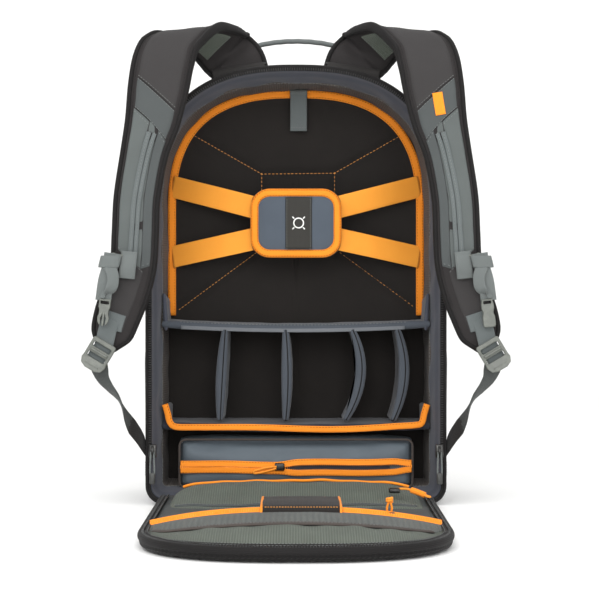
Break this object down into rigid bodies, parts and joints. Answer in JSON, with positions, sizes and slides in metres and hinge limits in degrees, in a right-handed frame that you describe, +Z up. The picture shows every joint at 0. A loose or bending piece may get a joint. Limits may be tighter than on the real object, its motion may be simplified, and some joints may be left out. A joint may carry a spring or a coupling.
{
  "type": "drone backpack",
  "caption": "Backpack case for a small racing drone: fold-down padded back panel, elastic harness, divider shelf, zip pouch and shoulder straps.",
  "frame": {"origin": "middle of the bag's base, on the ground", "axes": "+Z up, +Y away from the opening, +X to the right of someone who looks into the opening"},
  "size_m": [0.4676, 0.65, 0.5344],
  "materials": {
    "shell_black": "woven ballistic nylon, coated",
    "lining_slate": "brushed tricot over foam",
    "quilt_black": "quilted loop fabric",
    "orange_tape": "woven polyester tape",
    "orange_elastic": "woven elastic",
    "harness_pad": "padded nylon with taped edge",
    "orange_cord": "braided cord",
    "zip_black": "coil zip tape",
    "slider_metal": "black painted zinc",
    "webbing_grey": "woven nylon webbing",
    "divider_fabric": "brushed tricot over foam board",
    "tray_fabric": "brushed tricot over foam board",
    "pouch_fabric": "ripstop nylon",
    "mesh_grey": "knitted spacer mesh",
    "elastic_black": "ribbed elastic",
    "strap_charcoal": "nylon over foam",
    "buckle_grey": "moulded acetal"
  },
  "bodies": {
    "bag": {"sole": "shell_black", "outer_shell": "shell_black", "side_lining": "lining_slate", "inner_wall": "shell_black", "back_pad": "quilt_black", "back_piping": "orange_tape", "main_zip_track": "zip_black", "far_pocket": "shell_black", "far_pocket_zip": "orange_tape", "top_tab_root": "webbing_grey", "strap_root_left": "shell_black", "strap_root_right": "shell_black", "handle_patches": "shell_black", "side_pocket_left": "shell_black", "side_pocket_right": "shell_black", "web_anchor_left": "webbing_grey", "web_anchor_right": "webbing_grey", "lower_webbing_left": "webbing_grey", "lower_webbing_right": "webbing_grey", "shelf": "divider_fabric", "tray": "tray_fabric", "tray_binding": "orange_tape", "tool_pouch": "pouch_fabric", "pouch_zip": "orange_tape", "harness_straps": "orange_elastic"},
    "door": {"door_panel": "shell_black", "door_pads": "shell_black", "door_zip_track": "zip_black", "far_mesh_pocket": "mesh_grey", "near_mesh_pocket": "mesh_grey", "near_pocket_zip": "orange_tape", "elastic_loop": "elastic_black"},
    "handle": {"grab_handle": "webbing_grey"},
    "tab": {"top_tab": "webbing_grey"},
    "harness": {"harness_pad": "harness_pad"},
    "main_slider_left": {"main_slider_left": "slider_metal"},
    "main_slider_right": {"main_slider_right": "slider_metal"},
    "far_pocket_slider": {"far_pocket_slider": "orange_cord"},
    "pouch_slider": {"pouch_slider": "orange_cord"},
    "near_pocket_slider": {"near_pocket_slider": "orange_cord"},
    "far_pocket_pull": {"far_pocket_pull": "orange_cord"},
    "divider_1": {"divider_1": "divider_fabric"},
    "divider_2": {"divider_2": "divider_fabric"},
    "divider_3": {"divider_3": "divider_fabric"},
    "divider_4": {"divider_4": "divider_fabric"},
    "strap_left": {"strap_left": "strap_charcoal", "strap_rails_left": "webbing_grey", "lock_tab_left": "webbing_grey"},
    "sternum_slider_left": {"sternum_slider_left": "buckle_grey"},
    "sternum_buckle_left": {"sternum_buckle_left": "buckle_grey"},
    "ladder_lock_left": {"ladder_lock_left": "buckle_grey"},
    "strap_right": {"strap_right": "strap_charcoal", "strap_rails_right": "webbing_grey", "lock_tab_right": "webbing_grey"},
    "sternum_slider_right": {"sternum_slider_right": "buckle_grey"},
    "sternum_buckle_right": {"sternum_buckle_right": "buckle_grey"},
    "ladder_lock_right": {"ladder_lock_right": "buckle_grey"}
  },
  "joints": [
    {"name": "door_fold", "type": "hinge", "parent": "bag", "child": "door", "pos_m": [0, -0.095, 0.01], "axis": [-1, 0, 0], "range_deg": [0, 90]},
    {"name": "handle_tilt", "type": "hinge", "parent": "bag", "child": "handle", "pos_m": [0, 0.023, 0.48769], "axis": [1, 0, 0], "range_deg": [-35, 35], "stiffness_Nm_per_rad": 0.06},
    {"name": "tab_swing", "type": "hinge", "parent": "bag", "child": "tab", "pos_m": [0.003, 0.0025, 0.4655], "axis": [-1, 0, 0], "range_deg": [0, 75]},
    {"name": "harness_pull", "type": "slide", "parent": "bag", "child": "harness", "axis": [0, 1, 0], "range_m": [-0.03, 0], "stiffness_N_per_m": 180, "deforming": ["harness_straps"]},
    {"name": "main_slider_left_travel", "type": "slide", "parent": "bag", "child": "main_slider_left", "axis": [0, 0, 1], "range_m": [0, 0.23]},
    {"name": "main_slider_right_travel", "type": "slide", "parent": "bag", "child": "main_slider_right", "axis": [0, 0, 1], "range_m": [0, 0.23]},
    {"name": "far_pocket_slider_travel", "type": "slide", "parent": "bag", "child": "far_pocket_slider", "axis": [0, 0, 1], "range_m": [0, 0.08]},
    {"name": "pouch_slider_travel", "type": "slide", "parent": "bag", "child": "pouch_slider", "axis": [1, 0, 0], "range_m": [-0.08, 0.13]},
    {"name": "near_pocket_slider_travel", "type": "slide", "parent": "door", "child": "near_pocket_slider", "axis": [1, 0, 0], "range_m": [-0.2, 0.03]},
    {"name": "far_pocket_pull_travel", "type": "slide", "parent": "door", "child": "far_pocket_pull", "axis": [1, 0, 0], "range_m": [-0.19, 0]},
    {"name": "divider_1_shift", "type": "slide", "parent": "bag", "child": "divider_1", "axis": [1, 0, 0], "range_m": [-0.008, 0.008]},
    {"name": "divider_2_shift", "type": "slide", "parent": "bag", "child": "divider_2", "axis": [1, 0, 0], "range_m": [-0.008, 0.008]},
    {"name": "divider_3_shift", "type": "slide", "parent": "bag", "child": "divider_3", "axis": [1, 0, 0], "range_m": [-0.008, 0.008]},
    {"name": "divider_4_shift", "type": "slide", "parent": "bag", "child": "divider_4", "axis": [1, 0, 0], "range_m": [-0.008, 0.008]},
    {"name": "strap_left_swing", "type": "hinge", "parent": "bag", "child": "strap_left", "pos_m": [-0.064, -0.06, 0.48705], "axis": [-0.9683, 0, -0.2497], "range_deg": [0, 18], "deforming": ["lower_webbing_left"]},
    {"name": "sternum_slider_left_travel", "type": "slide", "parent": "strap_left", "child": "sternum_slider_left", "axis": [0.165, 0, 0.9863], "range_m": [0, 0.1]},
    {"name": "sternum_buckle_left_swing", "type": "hinge", "parent": "sternum_slider_left", "child": "sternum_buckle_left", "pos_m": [-0.2055, -0.166, 0.278], "axis": [0, 1, 0], "range_deg": [-25, 25]},
    {"name": "ladder_lock_left_tilt", "type": "hinge", "parent": "strap_left", "child": "ladder_lock_left", "pos_m": [-0.20579, -0.164, 0.182], "axis": [-0.8571, 0, 0.5151], "range_deg": [0, 35]},
    {"name": "strap_right_swing", "type": "hinge", "parent": "bag", "child": "strap_right", "pos_m": [0.064, -0.06, 0.48705], "axis": [-0.9683, 0, 0.2497], "range_deg": [0, 18], "deforming": ["lower_webbing_right"]},
    {"name": "sternum_slider_right_travel", "type": "slide", "parent": "strap_right", "child": "sternum_slider_right", "axis": [-0.165, 0, 0.9863], "range_m": [0, 0.1]},
    {"name": "sternum_buckle_right_swing", "type": "hinge", "parent": "sternum_slider_right", "child": "sternum_buckle_right", "pos_m": [0.2055, -0.166, 0.278], "axis": [0, 1, 0], "range_deg": [-25, 25]},
    {"name": "ladder_lock_right_tilt", "type": "hinge", "parent": "strap_right", "child": "ladder_lock_right", "pos_m": [0.20579, -0.164, 0.182], "axis": [-0.8571, 0, -0.5151], "range_deg": [0, 35]}
  ]
}
